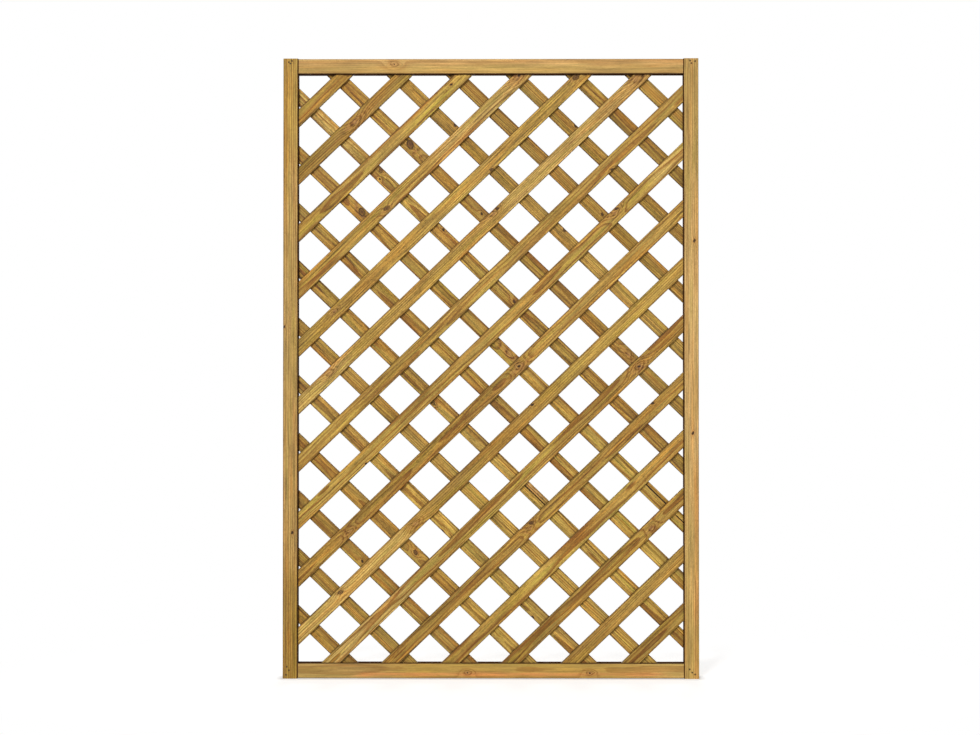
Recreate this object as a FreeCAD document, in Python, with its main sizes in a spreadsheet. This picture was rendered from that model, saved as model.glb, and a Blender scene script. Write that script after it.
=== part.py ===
"""Diamond trellis panel in softwood: a grooved frame round two layers of crossing laths.

Two stiles run the full height. Two rails stand between them, each held by a long tenon in an open
mortise at the stile's end. A groove runs round the inside of the frame. The front laths rise to
the right and the back laths fall to the right. The two layers lie face to face, and every lath
ends inside the groove.

Millimetres. +Z is up and -Y is the front. The origin is on the left stile's outer edge, at the
stile's foot and in the middle of its depth.
"""

import FreeCAD, Part
import math
import os

import Sketcher

LENGTHS = [
    ("panel_width", 1200.0, "over the two stiles"),
    ("panel_height", 1790.0, "length of a stile"),
    ("frame_face", 43.0, "width of a stile or rail, seen from the front"),
    ("frame_depth", 38.0, "front face to back face"),
    ("frame_arris", 2.0, "radius of the frame's planed edges"),
    ("stile_horn", 1.5, "how far a stile's end stands past the rail"),
    ("groove_depth", 12.0, "cut into the inner edge of stiles and rails"),
    ("groove_play", 0.25, "slack beside the laths, at each lip of the groove"),
    ("mortise_depth", 35.0, "from the stile's inner edge, open at the stile's end"),
    ("tenon_play", 0.15, "slack at a tenon's front, back and inner edge"),
    ("tenon_end_gap", 1.0, "between a tenon's end and the bottom of its mortise"),
    ("lath_width", 38.0, "across the face of a lath"),
    ("lath_thickness", 10.0, "of each of the two layers"),
    ("lath_arris", 1.0, "bevel along the edges of a lath"),
    ("lath_end_gap", 1.5, "between a lath's cut end and the bottom of the groove"),
    ("lattice_right", -4.5, "centre of the middle diamond, right of the panel's centre"),
    ("lattice_up", 5.5, "centre of the middle diamond, above the panel's centre"),
]

DIAMOND_COUNTS = [
    ("diamonds_across", 6.44, "from stile to stile, with the part ones at the sides"),
    ("diamonds_up", 10.22, "from rail to rail, with the part ones at the ends"),
]

WORKED_OUT = [
    ("groove_width", "=2 * (lath_thickness + groove_play)", "between the lips"),
    ("tenon_thickness", "=groove_width - 2 * tenon_play", "fits between the mortise's cheeks"),
    ("rail_length", "=panel_width - 2 * frame_face", "between the shoulders"),
    ("tenon_reach", "=rail_length + 2 * (mortise_depth - tenon_end_gap)", "over both tenons"),
    ("mortise_height", "=stile_horn + frame_face - groove_depth + tenon_play", "from the end"),
    ("opening_height", "=panel_height - 2 * (stile_horn + frame_face)", "rail to rail"),
    ("housing", "=groove_depth - lath_end_gap", "how far a lath's end is hidden"),
    ("diamond_width", "=rail_length / diamonds_across", "corner to corner, on lath centre lines"),
    ("diamond_height", "=opening_height / diamonds_up", "corner to corner, on lath centre lines"),
    ("lath_angle", "=atan(diamond_height / diamond_width)", "between a lath and the level"),
    ("lattice_x", "=panel_width / 2 + lattice_right", "centre of the middle diamond"),
    ("lattice_z", "=panel_height / 2 + lattice_up", "centre of the middle diamond"),
    ("bar_length", "=2 * (panel_width + panel_height)", "uncut bar, longer than any lath"),
]

TOUCH = 0.01  # two places nearer than this are the same place

doc = FreeCAD.newDocument("trellis_panel")
sheet = doc.addObject("Spreadsheet::Sheet", "sizes")
for row, (alias, cell, note) in enumerate(LENGTHS + DIAMOND_COUNTS + WORKED_OUT, start=1):
    sheet.set(f"A{row}", alias)
    sheet.set(f"B{row}", str(cell))
    sheet.set(f"C{row}", note)
    sheet.setAlias(f"B{row}", alias)
doc.recompute()


def size(alias):
    return float(sheet.get(alias))


def bind(thing, **expressions):
    """Ties properties to the sheet. A double underscore in a name stands for a full stop."""
    for name, expression in expressions.items():
        thing.setExpression(name.replace("__", "."), expression)


def new_body(name):
    body = doc.addObject("PartDesign::Body", name)
    body.Label = name
    return body


def rectangle(body, role, name, left, right, low, high):
    """A sketched rectangle on an origin plane, its four sides tied to the sheet."""
    sketch = body.newObject("Sketcher::SketchObject", name)
    plane = next(feature for feature in body.Origin.OriginFeatures if feature.Role == role)
    sketch.AttachmentSupport = [(plane, "")]
    sketch.MapMode = "FlatFace"
    corners = [FreeCAD.Vector(x, y, 0) for x, y in ((-1, -1), (1, -1), (1, 1), (-1, 1))]
    for side in range(4):
        sketch.addGeometry(Part.LineSegment(corners[side], corners[(side + 1) % 4]))
    for side in range(4):
        sketch.addConstraint(Sketcher.Constraint("Coincident", side, 2, (side + 1) % 4, 1))
        sketch.addConstraint(Sketcher.Constraint(("Horizontal", "Vertical")[side % 2], side))
    for side, expression in enumerate((low, right, high, left)):
        kind, start = (("DistanceY", corners[side].y), ("DistanceX", corners[side].x))[side % 2]
        number = sketch.addConstraint(Sketcher.Constraint(kind, side, 1, start))
        sketch.setExpression(f"Constraints[{number}]", expression)
    return sketch


def pad(body, sketch, name, length, both_ways=False):
    feature = body.newObject("PartDesign::Pad", name)
    feature.Profile = sketch
    feature.Midplane = both_ways
    bind(feature, Length=length)
    return feature


def pocket(body, sketch, name, width=None):
    """A cut to both sides of its sketch, right through if it has no width. It has to remove wood."""
    doc.recompute()
    before = body.Shape.Volume
    feature = body.newObject("PartDesign::Pocket", name)
    feature.Profile = sketch
    feature.Midplane = True
    if width is None:
        feature.Type = "ThroughAll"
    else:
        bind(feature, Length=width)
    doc.recompute()
    if body.Shape.Volume >= before:
        raise RuntimeError(f"{name} cuts nothing")


def long_edges(shape, axis, outermost):
    """Names of the edges along an axis that lie on the timber's front or back face."""
    found = []
    for number, edge in enumerate(shape.Edges, start=1):
        first, last = (vertex.Point for vertex in edge.Vertexes)
        along = abs((last - first).dot(axis)) > edge.Length - TOUCH
        if along and abs(abs(first.y) - outermost) < TOUCH:
            found.append(f"Edge{number}")
    return found


def ease(body, axis, name):
    """Rounds the four planed edges of a frame timber."""
    base = body.Tip
    feature = body.newObject("PartDesign::Fillet", name)
    feature.Base = (base, long_edges(base.Shape, axis, size("frame_depth") / 2))
    bind(feature, Radius="sizes.frame_arris")
    doc.recompute()


def make_stile(name):
    """Full-height timber with its outer edge at x = 0, its groove to the right and open mortises."""
    body = new_body(name)
    half_depth = "sizes.frame_depth / 2"
    section = rectangle(
        body, "XY_Plane", f"{name}_section", "0", "sizes.frame_face", f"-{half_depth}", half_depth
    )
    pad(body, section, f"{name}_timber", "sizes.panel_height")
    channel = rectangle(
        body, "XY_Plane", f"{name}_channel",
        "sizes.frame_face - sizes.groove_depth", "sizes.frame_face",
        "-sizes.groove_width / 2", "sizes.groove_width / 2",
    )
    pocket(body, channel, f"{name}_groove")
    ends = (
        ("foot", "0", "sizes.mortise_height"),
        ("head", "sizes.panel_height - sizes.mortise_height", "sizes.panel_height"),
    )
    for end, low, high in ends:
        slot = rectangle(
            body, "XZ_Plane", f"{name}_{end}_slot",
            "sizes.frame_face - sizes.mortise_depth", "sizes.frame_face", low, high,
        )
        pocket(body, slot, f"{name}_{end}_mortise", "sizes.groove_width")
    ease(body, FreeCAD.Vector(0, 0, 1), f"{name}_arrises")
    return body


def make_rail(name):
    """Cross timber with its outer edge at z = 0, its groove upwards and a tenon at each end."""
    body = new_body(name)
    half_depth = "sizes.frame_depth / 2"
    section = rectangle(
        body, "YZ_Plane", f"{name}_section", f"-{half_depth}", half_depth, "0", "sizes.frame_face"
    )
    pad(body, section, f"{name}_timber", "sizes.rail_length", both_ways=True)
    channel = rectangle(
        body, "YZ_Plane", f"{name}_channel",
        "-sizes.groove_width / 2", "sizes.groove_width / 2",
        "sizes.frame_face - sizes.groove_depth", "sizes.frame_face",
    )
    pocket(body, channel, f"{name}_groove")
    ease(body, FreeCAD.Vector(1, 0, 0), f"{name}_arrises")
    tongue = rectangle(
        body, "YZ_Plane", f"{name}_tongue",
        "-sizes.tenon_thickness / 2", "sizes.tenon_thickness / 2",
        "0", "sizes.frame_face - sizes.groove_depth",
    )
    pad(body, tongue, f"{name}_tenons", "sizes.tenon_reach", both_ways=True)
    return body


def make_frame():
    make_stile("stile_left")
    right = make_stile("stile_right")
    right.Placement = FreeCAD.Placement(FreeCAD.Vector(), FreeCAD.Rotation(FreeCAD.Vector(0, 0, 1), 180))
    bind(right, Placement__Base__x="sizes.panel_width")
    bottom = make_rail("rail_bottom")
    bind(bottom, Placement__Base__x="sizes.panel_width / 2", Placement__Base__z="sizes.stile_horn")
    top = make_rail("rail_top")
    top.Placement = FreeCAD.Placement(FreeCAD.Vector(), FreeCAD.Rotation(FreeCAD.Vector(0, 1, 0), 180))
    bind(
        top,
        Placement__Base__x="sizes.panel_width / 2",
        Placement__Base__z="sizes.panel_height - sizes.stile_horn",
    )
    return ["stile_left", "stile_right", "rail_bottom", "rail_top"]


def make_field():
    """The space inside the frame that the laths fill, out to their cut ends in the groove."""
    field = doc.addObject("Part::Box", "lath_field")
    bind(
        field,
        Length="sizes.rail_length + 2 * sizes.housing",
        Width="2 * sizes.frame_depth",
        Height="sizes.opening_height + 2 * sizes.housing",
        Placement__Base__x="sizes.frame_face - sizes.housing",
        Placement__Base__y="-sizes.frame_depth",
        Placement__Base__z="sizes.stile_horn + sizes.frame_face - sizes.housing",
    )
    return field


def lath_rows(rise):
    """Which rows of laths cross the frame's opening, as whole numbers.

    A row is counted along the level through the middle diamond, where row 0 is the first lath to
    its right. rise is 1 for laths that rise to the right and -1 for laths that fall. A lath is
    fitted where its centre line crosses the opening.
    """
    sides = [size("frame_face"), size("frame_face") + size("rail_length")]
    foot = size("stile_horn") + size("frame_face")
    levels = [foot, foot + size("opening_height")]
    corners = [
        (x - size("lattice_x")) / size("diamond_width")
        - rise * (z - size("lattice_z")) / size("diamond_height")
        for x in sides
        for z in levels
    ]
    return range(math.ceil(min(corners) - 0.5), math.floor(max(corners) - 0.5) + 1)


def make_lath(name, row, rise, field):
    """A bevelled bar through its row of the lattice, cut plumb and level where the field ends.

    The bar is made level about the body's origin, with its inner face at y = 0. It is then turned
    to the lath's slope and moved to where its row crosses the level through the middle diamond.
    """
    layer = ("-sizes.lath_thickness", "0") if rise > 0 else ("0", "sizes.lath_thickness")
    body = new_body(f"{name}_bar")
    section = rectangle(
        body, "YZ_Plane", f"{name}_section", *layer, "-sizes.lath_width / 2", "sizes.lath_width / 2"
    )
    bar = pad(body, section, f"{name}_timber", "sizes.bar_length", both_ways=True)
    doc.recompute()
    bevel = body.newObject("PartDesign::Chamfer", f"{name}_bevels")
    bevel.Base = (bar, [
        f"Edge{number}" for number, edge in enumerate(bar.Shape.Edges, start=1)
        if edge.Length > size("bar_length") / 2
    ])
    bind(bevel, Size="sizes.lath_arris")
    turn_axis = FreeCAD.Vector(0, -rise, 0)
    body.Placement = FreeCAD.Placement(FreeCAD.Vector(), FreeCAD.Rotation(turn_axis, size("lath_angle")))
    bind(
        body,
        Placement__Rotation__Angle="sizes.lath_angle",
        Placement__Base__x=f"sizes.lattice_x + {row + 0.5} * sizes.diamond_width",
        Placement__Base__z="sizes.lattice_z",
    )
    lath = doc.addObject("Part::Common", name)
    lath.Label = name
    lath.Base = body
    lath.Tool = field
    return name


def make_lattice():
    field = make_field()
    names = []
    for layer, rise in (("front", 1), ("back", -1)):
        for number, row in enumerate(lath_rows(rise), start=1):
            names.append(make_lath(f"{layer}_lath_{number:02d}", row, rise, field))
    return names


def check_and_write(names):
    """Nothing is written unless every object came out whole."""
    doc.recompute()
    for thing in doc.Objects:
        if "Invalid" in thing.State or "Error" in thing.State:
            raise RuntimeError(f"{thing.Name} failed: {thing.State}")
    pieces = [doc.getObject(name) for name in names]
    for piece in pieces:
        shape = piece.Shape
        if shape.isNull() or not shape.isValid() or len(shape.Solids) != 1:
            raise RuntimeError(f"{piece.Label} isn't one whole solid")
    os.makedirs("parts", exist_ok=True)
    for piece in pieces:
        piece.Shape.exportStep(f"parts/{piece.Label}.step")


check_and_write(make_frame() + make_lattice())
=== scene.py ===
"""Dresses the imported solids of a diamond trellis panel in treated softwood.

Every timber of the panel is made again as a planed bar with rounded arrises, knots, splits and
grain that runs through the wood. The small fastenings are added: pins at the frame's corners, and
staples at the back of the laths' crossings. Metres. +Z is up, -Y is the front, and +X runs along
the panel from the left stile to the right one.
"""
import functools
import math
import random

import bmesh
import bpy
from mathutils import Matrix, Vector


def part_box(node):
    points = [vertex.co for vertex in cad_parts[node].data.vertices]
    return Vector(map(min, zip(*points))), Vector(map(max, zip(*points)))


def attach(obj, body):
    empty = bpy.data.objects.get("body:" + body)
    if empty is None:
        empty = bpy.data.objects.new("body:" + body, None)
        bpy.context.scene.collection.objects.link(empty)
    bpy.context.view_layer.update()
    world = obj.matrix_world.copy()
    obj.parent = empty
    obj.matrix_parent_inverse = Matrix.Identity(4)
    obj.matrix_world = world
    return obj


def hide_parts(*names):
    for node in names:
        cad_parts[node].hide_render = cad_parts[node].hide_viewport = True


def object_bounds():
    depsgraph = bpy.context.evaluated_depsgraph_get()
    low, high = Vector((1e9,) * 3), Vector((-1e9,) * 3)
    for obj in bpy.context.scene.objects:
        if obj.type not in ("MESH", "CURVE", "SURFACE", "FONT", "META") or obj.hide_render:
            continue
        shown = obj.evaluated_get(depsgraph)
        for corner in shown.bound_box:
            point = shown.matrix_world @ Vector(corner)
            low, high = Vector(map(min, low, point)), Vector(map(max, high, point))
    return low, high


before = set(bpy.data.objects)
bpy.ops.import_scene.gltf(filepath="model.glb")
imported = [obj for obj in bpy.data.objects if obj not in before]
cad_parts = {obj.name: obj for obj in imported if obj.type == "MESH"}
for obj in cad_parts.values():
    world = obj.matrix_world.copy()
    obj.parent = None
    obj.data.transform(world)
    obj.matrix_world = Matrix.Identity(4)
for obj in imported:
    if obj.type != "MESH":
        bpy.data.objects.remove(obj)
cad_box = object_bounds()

bl_info = {
    "name": "Diamond trellis panel",
    "version": (1, 0, 0),
    "blender": (4, 5, 0),
    "location": "3D View > Sidebar > Trellis",
    "description": "Makes a framed trellis panel of crossing laths, with its staples and pins",
    "category": "Add Mesh",
}

MM = 0.001
STILES = ("stile_left", "stile_right")
RAILS = ("rail_bottom", "rail_top")
LATHS_IN_LAYER = 16

# the frame's joinery, as in the solids
GROOVE_DEPTH, GROOVE_WIDTH = 12 * MM, 20.5 * MM
MORTISE_DEPTH, MORTISE_HEIGHT = 35 * MM, 32.65 * MM
TENON_PLAY, TENON_END_GAP = 0.15 * MM, 1 * MM
TENON_LENGTH = MORTISE_DEPTH - TENON_END_GAP


# Settings that a user would change

def tint(red, green, blue):
    """A colour matched on a 0 to 255 scale, as the linear values that shaders use."""
    def linear(part):
        part /= 255
        return part / 12.92 if part <= 0.04045 else ((part + 0.055) / 1.055) ** 2.4
    return linear(red), linear(green), linear(blue)


def colour_setting(name, description, colour):
    return bpy.props.FloatVectorProperty(
        name=name, description=description, subtype="COLOR", size=3, min=0.0, max=1.0,
        default=tint(*colour),
    )


def length_setting(name, description, default):
    return bpy.props.FloatProperty(
        name=name, description=description, default=default, min=0.0, subtype="DISTANCE",
        unit="LENGTH", precision=5,
    )


def number_setting(name, description, default):
    return bpy.props.FloatProperty(
        name=name, description=description, default=default, min=0.0, max=10.0
    )


class TrellisSizes(bpy.types.PropertyGroup):
    """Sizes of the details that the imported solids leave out"""
    lath_width: length_setting("Lath width", "Across the face of a lath", 38 * MM)
    lath_arris: length_setting("Lath arris", "Radius of a lath's long edges", 1.1 * MM)
    frame_arris: length_setting("Frame arris", "Radius of a stile's or rail's long edges", 2 * MM)
    section_step: length_setting("Section step", "Between two sections of points on a bar", 6 * MM)
    unevenness: length_setting("Unevenness", "Depth of the low places in a planed face", 0.22 * MM)
    knot_hollow: length_setting("Knot hollow", "Depth of the sunk ring round a knot", 0.35 * MM)
    pin_head: length_setting("Pin head", "Diameter of the head of a corner pin", 2.8 * MM)
    pin_depth: length_setting("Pin depth", "How far a corner pin is punched in", 1.3 * MM)
    staple_crown: length_setting("Staple crown", "Length of a staple across its back", 10.6 * MM)
    staple_leg: length_setting("Staple leg", "Length of a staple's leg in the wood", 6 * MM)
    staple_wire: length_setting("Staple wire", "Diameter of a staple's wire", 1.2 * MM)


class TrellisColours(bpy.types.PropertyGroup):
    """Tones of the treated softwood, from palest to darkest, and of its marks"""
    straw: colour_setting("Straw", "Pale sapwood with a little gold", (198, 164, 90))
    cream: colour_setting("Cream", "Palest sapwood", (198, 163, 103))
    pale_tan: colour_setting("Pale tan", "Pale sapwood", (188, 154, 87))
    fawn: colour_setting("Fawn", "Sapwood dulled by handling", (177, 143, 82))
    honey: colour_setting("Honey", "Warm sapwood", (182, 148, 70))
    tan: colour_setting("Tan", "Middle tone", (175, 140, 67))
    gold_brown: colour_setting("Gold brown", "Darker middle tone", (166, 130, 58))
    umber: colour_setting("Umber", "Heartwood", (156, 120, 52))
    dark_umber: colour_setting("Dark umber", "Darkest heartwood", (144, 108, 45))
    olive: colour_setting("Olive", "Where the green of the treatment shows", (170, 144, 78))
    orange: colour_setting("Orange", "Resin-rich streaks", (196, 146, 80))
    rust: colour_setting("Rust", "Reddest of the resin streaks", (210, 138, 80))
    apricot: colour_setting("Apricot", "Pale wood beside the resin streaks", (203, 162, 102))
    knot: colour_setting("Knot", "Heart of a knot", (86, 54, 29))
    pale_knot: colour_setting("Pale knot", "Heart of a pale knot", (186, 138, 88))
    bark: colour_setting("Bark", "Dark rim of a knot", (48, 30, 12))
    zinc: colour_setting("Zinc", "Dulled galvanised wire", (150, 150, 146))
    steel: colour_setting("Steel", "Browned heads of the corner pins", (74, 58, 42))


class TrellisStudio(bpy.types.PropertyGroup):
    """Light and floor of the studio"""
    around: number_setting("Light all round", "Strength of the plain light from every side", 0.30)
    key: number_setting("Key light", "Share of the full light that comes from the upper left", 0.52)
    fill: number_setting("Fill light", "Share of the full light from beside the camera", 0.20)
    behind: number_setting("Back light", "Share of the full light on the back of the panel", 0.52)
    floor_glow: number_setting("Floor glow", "What is added to the floor as the camera sees it", 0.55)
    # less glow at the panel's foot paints a contact shadow there
    foot_shadow_glow: number_setting("Foot glow", "What is added to the floor at the panel's foot", 0.28)


# Node trees, in short words

class Wire:
    """A socket of a node tree, so that sums of sockets can be written as sums."""

    def __init__(self, tree, socket):
        self.tree, self.socket = tree, socket

    def math(self, operation, *others):
        node = put(self.tree, "ShaderNodeMath", operation=operation)
        for socket, value in zip(node.inputs, (self, *others)):
            join(socket, value)
        return Wire(self.tree, node.outputs[0])

    def __add__(self, other):
        return self.math("ADD", other)

    def __sub__(self, other):
        return self.math("SUBTRACT", other)

    def __mul__(self, other):
        return self.math("MULTIPLY", other)

    def __truediv__(self, other):
        return self.math("DIVIDE", other)

    def __neg__(self):
        return self * -1.0

    def rest(self):
        """What is left of 1."""
        return -self + 1.0

    def size(self):
        return self.math("ABSOLUTE")

    def least(self, other):
        return self.math("MINIMUM", other)

    def most(self, other):
        return self.math("MAXIMUM", other)

    def eased(self, zero_at, one_at):
        """0 up to one value and 1 past the other, with a soft slope between them."""
        return made(
            self.tree, "ShaderNodeMapRange", interpolation_type="SMOOTHSTEP",
            Value=self, From_Min=zero_at, From_Max=one_at,
        )

    def mixed(self, share, other, how="MIX"):
        """This colour with a share of another laid over it."""
        return made(
            self.tree, "ShaderNodeMix", data_type="RGBA", blend_type=how, Factor=share, A=self, B=other
        )

    def darkened(self, share, stain):
        """This colour with a share of a stain laid over it."""
        return self.mixed(share, opaque(STAINS[stain]), "MULTIPLY")


def join(socket, value):
    """Gives a socket a wire or a plain value."""
    if isinstance(value, Wire):
        value.tree.links.new(value.socket, socket)
    else:
        socket.default_value = value


def put(tree, kind, **words):
    """Adds a node. Small-letter words are its own settings, capital ones its input sockets."""
    node = tree.nodes.new(kind)
    for word, value in words.items():
        if word[0].islower():
            setattr(node, word, value)
    for word, value in words.items():
        if word[0].isupper():
            name = word.replace("_", " ").strip()
            join(next(s for s in node.inputs if s.enabled and s.name == name), value)
    return node


def made(tree, kind, output=None, **words):
    """Adds a node and gives its output of that name, or else its first one."""
    node = put(tree, kind, **words)
    return Wire(tree, next(s for s in node.outputs if s.enabled and output in (None, s.name)))


def parts(vector):
    """The three parts of a vector."""
    node = put(vector.tree, "ShaderNodeSeparateXYZ", Vector=vector)
    return [Wire(vector.tree, socket) for socket in node.outputs]


def together(x, y, z):
    """A vector of three parts, one of them a wire at least."""
    tree = next(part.tree for part in (x, y, z) if isinstance(part, Wire))
    return made(tree, "ShaderNodeCombineXYZ", X=x, Y=y, Z=z)


def hypotenuse(first, second):
    """The distance that two distances at right angles make."""
    return (first * first + second * second).math("SQRT")


def noise(x, y, z, detail=2.0, roughness=0.5):
    """Smooth noise from 0 to 1. The three places are already scaled to its grain."""
    where = together(x, y, z)
    return made(
        where.tree, "ShaderNodeTexNoise", Vector=where, Scale=1.0, Detail=detail, Roughness=roughness
    )


def grain_noise(timber, run, fineness, shift=0.0, detail=2.0, roughness=0.5):
    """Noise drawn out along a timber, from how fine it is along and across the grain, per metre."""
    along, across, through = timber
    return noise(along * run + shift, across * fineness, through * fineness, detail, roughness)


def opaque(colour):
    """A colour of three parts with a full fourth one."""
    return (*colour, 1.0)


def new_tree(name, kind, takes, gives):
    """A node tree with the named inputs of each kind, and the wires that bring them in."""
    tree = bpy.data.node_groups.new(name, kind)
    for way, sockets in (("INPUT", takes), ("OUTPUT", gives)):
        for socket_kind, labels in sockets.items():
            for label in labels:
                tree.interface.new_socket(label, in_out=way, socket_type="NodeSocket" + socket_kind)
    inlet = tree.nodes.new("NodeGroupInput")
    return tree, {socket.name: Wire(tree, socket) for socket in inlet.outputs if socket.name}


def give(tree, **wires):
    """Joins wires to the outputs of a tree, by name."""
    outlet = tree.nodes.new("NodeGroupOutput")
    for word, wire in wires.items():
        join(outlet.inputs[word.replace("_", " ")], wire)


def give_mesh(mesh, material):
    """Ends a geometry tree."""
    whole = made(mesh.tree, "GeometryNodeRealizeInstances", Geometry=mesh)
    give(mesh.tree, Geometry=made(
        mesh.tree, "GeometryNodeSetMaterial", Geometry=whole, Material=material
    ))


def place(tree, group, **words):
    """Places a shader node group and gives its outputs by name."""
    node = put(tree, "ShaderNodeGroup", node_tree=group)
    for word, value in words.items():
        join(node.inputs[word.replace("_", " ")], value)
    return {socket.name: Wire(tree, socket) for socket in node.outputs}


# The planed bar

KNOTS = ("Knot 1", "Knot 2", "Knot 3", "Knot 4")
TONES = ("Tone 1", "Tone 2", "Tone 3")
CHANGES = ("Change 1", "Change 2")
START_CUTS = ("Start Plumb Cut", "Start Level Cut")
FINISH_CUTS = ("Finish Plumb Cut", "Finish Level Cut")
ARRIS_ROWS = 2
SHARP_ANGLE = math.radians(32)
LEAST_KNOT = 0.2 * MM


def mark_name(label):
    """The attribute that carries a tree's input to the material."""
    return label.lower().replace(" ", "_")


def crowded(place_in_row, rows, width, arris):
    """Moves evenly spaced rows of points so that each edge has two rows in its arris."""
    from_edge = (-place_in_row.size() + 0.5) * (rows - 1.0)
    flat_rows = (rows - 1.0) / 2 - ARRIS_ROWS
    in_arris = from_edge.least(ARRIS_ROWS) * arris / ARRIS_ROWS
    on_face = (from_edge - ARRIS_ROWS).most(0.0) / flat_rows * (width / 2.0 - arris)
    return (width / 2.0 - in_arris - on_face) * place_in_row.math("SIGN")


def trimmed_bar(tree, given):
    """A bar between its plumb and level cuts at each end."""
    sections = (given["Length"] / given["Section Step"]).math("CEIL") + 1.0
    grid = made(
        tree, "GeometryNodeMeshCube", Size=(1.0, 1.0, 1.0), Vertices_X=sections,
        Vertices_Y=given["Rows Across"], Vertices_Z=given["Rows Through"],
    )
    even = parts(made(tree, "GeometryNodeInputPosition"))
    across = crowded(even[1], given["Rows Across"], given["Width"], given["Arris"])
    through = crowded(even[2], given["Rows Through"], given["Thickness"], given["Arris"])

    def cut(name):
        middle, slant, _ = parts(given[name])
        return middle + slant * across

    start = cut(START_CUTS[0]).most(cut(START_CUTS[1]))
    finish = cut(FINISH_CUTS[0]).least(cut(FINISH_CUTS[1]))
    along = start + (even[0] + 0.5) * (finish - start)
    return made(
        tree, "GeometryNodeSetPosition", Geometry=grid, Position=together(along, across, through)
    )


def with_planed_faces(mesh, given, shift):
    """Rounds the arrises, and planes a face a little low in places and dished round each knot."""
    width, thickness, arris = given["Width"], given["Thickness"], given["Arris"]
    timber = along, across, through = parts(made(mesh.tree, "GeometryNodeInputPosition"))

    # an arris is rounded about the corner of the rectangle that lies one radius inside
    inner_across = across.most(arris - width / 2.0).least(width / 2.0 - arris)
    inner_through = through.most(arris - thickness / 2.0).least(thickness / 2.0 - arris)
    out_across, out_through = across - inner_across, through - inner_through
    out = hypotenuse(out_across, out_through).most(0.001 * MM)

    low = grain_noise(timber, 9.0, 45.0, shift) * given["Unevenness"]
    for name in KNOTS:
        knot_along, knot_across, radius = parts(given[name])
        far = hypotenuse(along - knot_along, across - knot_across) / radius.size().most(LEAST_KNOT)
        low = low + far.eased(0.75, 1.1) * far.eased(2.6, 1.1) * given["Knot Hollow"]
    pull = out.least(arris) / out * (low / arris).rest()
    return made(
        mesh.tree, "GeometryNodeSetPosition", Geometry=mesh,
        Position=together(along, inner_across + out_across * pull, inner_through + out_through * pull),
    )


def either(switch, otherwise, chosen):
    """One mesh or the other."""
    return made(
        switch.tree, "GeometryNodeSwitch", input_type="GEOMETRY", Switch=switch, False_=otherwise,
        True_=chosen,
    )


def with_splits_cut(mesh, given):
    """Cuts the splits out of a bar that has some."""
    tool = made(mesh.tree, "GeometryNodeObjectInfo", "Geometry", Object=given["Split Tool"])
    return either(given["Split"], mesh, made(
        mesh.tree, "GeometryNodeMeshBoolean", operation="DIFFERENCE", solver="EXACT", Mesh_1=mesh,
        Mesh_2=tool,
    ))


def with_sharp_edges(mesh):
    """Shades the faces smooth and keeps the cut ends crisp."""
    mesh = made(mesh.tree, "GeometryNodeSetShadeSmooth", domain="FACE", Geometry=mesh)
    return made(
        mesh.tree, "GeometryNodeSetShadeSmooth", domain="EDGE", Geometry=mesh, Shade_Smooth=False,
        Selection=made(mesh.tree, "GeometryNodeInputMeshEdgeAngle").math("GREATER_THAN", SHARP_ANGLE),
    )


def tone_along(given, along, across, shift):
    """The wood's tone, with its ragged changes along the bar and its streak."""
    turn = along + across * given["Change Slant"]
    wobble = (noise(along * 14.0 + shift, across * 90.0, 0.0) - 0.5) * 60.0 * MM
    tone = given[TONES[0]]
    for change, name in zip(CHANGES, TONES[1:]):
        past = (turn + wobble - given[change]) / given["Change Blend"]
        tone = tone.mixed(past.eased(-0.5, 0.5), given[name])
    run_from, run_to, run_across = parts(given["Streak Run"])
    begun = ((turn + wobble * 2.0 - run_from) * 20.0).eased(0.0, 1.0)
    not_ended = ((run_to - turn + wobble * 2.0) * 20.0).eased(0.0, 1.0)
    side = (across - run_across + wobble * 0.12).size() / given["Streak Reach"].most(0.1 * MM)
    return tone.mixed(begun * not_ended * side.eased(1.5, 0.4) * 0.8, given["Streak Tone"])


def with_wood_marks(mesh, given, shift):
    """Writes on the wood what its material reads: places in the bar, and what runs there."""
    position = made(mesh.tree, "GeometryNodeInputPosition")
    along, across, _ = parts(position)
    facing = parts(made(mesh.tree, "GeometryNodeInputNormal"))
    marks = [
        ("timber", position, "FLOAT_VECTOR", "POINT"),
        ("section", together(given["Width"], given["Thickness"], given["Arris"]),
         "FLOAT_VECTOR", "POINT"),
        ("tone", tone_along(given, along, across, shift), "FLOAT_COLOR", "POINT"),
        ("seed", given["Seed"], "FLOAT", "POINT"),
        ("end_grain", facing[0].size(), "FLOAT", "FACE"),
    ]
    for name in ("Heart", "Growth", "Grain", *KNOTS):
        marks.append((mark_name(name), given[name], "FLOAT_VECTOR", "POINT"))
    for name, value, data_type, domain in marks:
        mesh = made(
            mesh.tree, "GeometryNodeStoreNamedAttribute", data_type=data_type, domain=domain,
            Geometry=mesh, Name=name, Value=value,
        )
    return mesh


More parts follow.
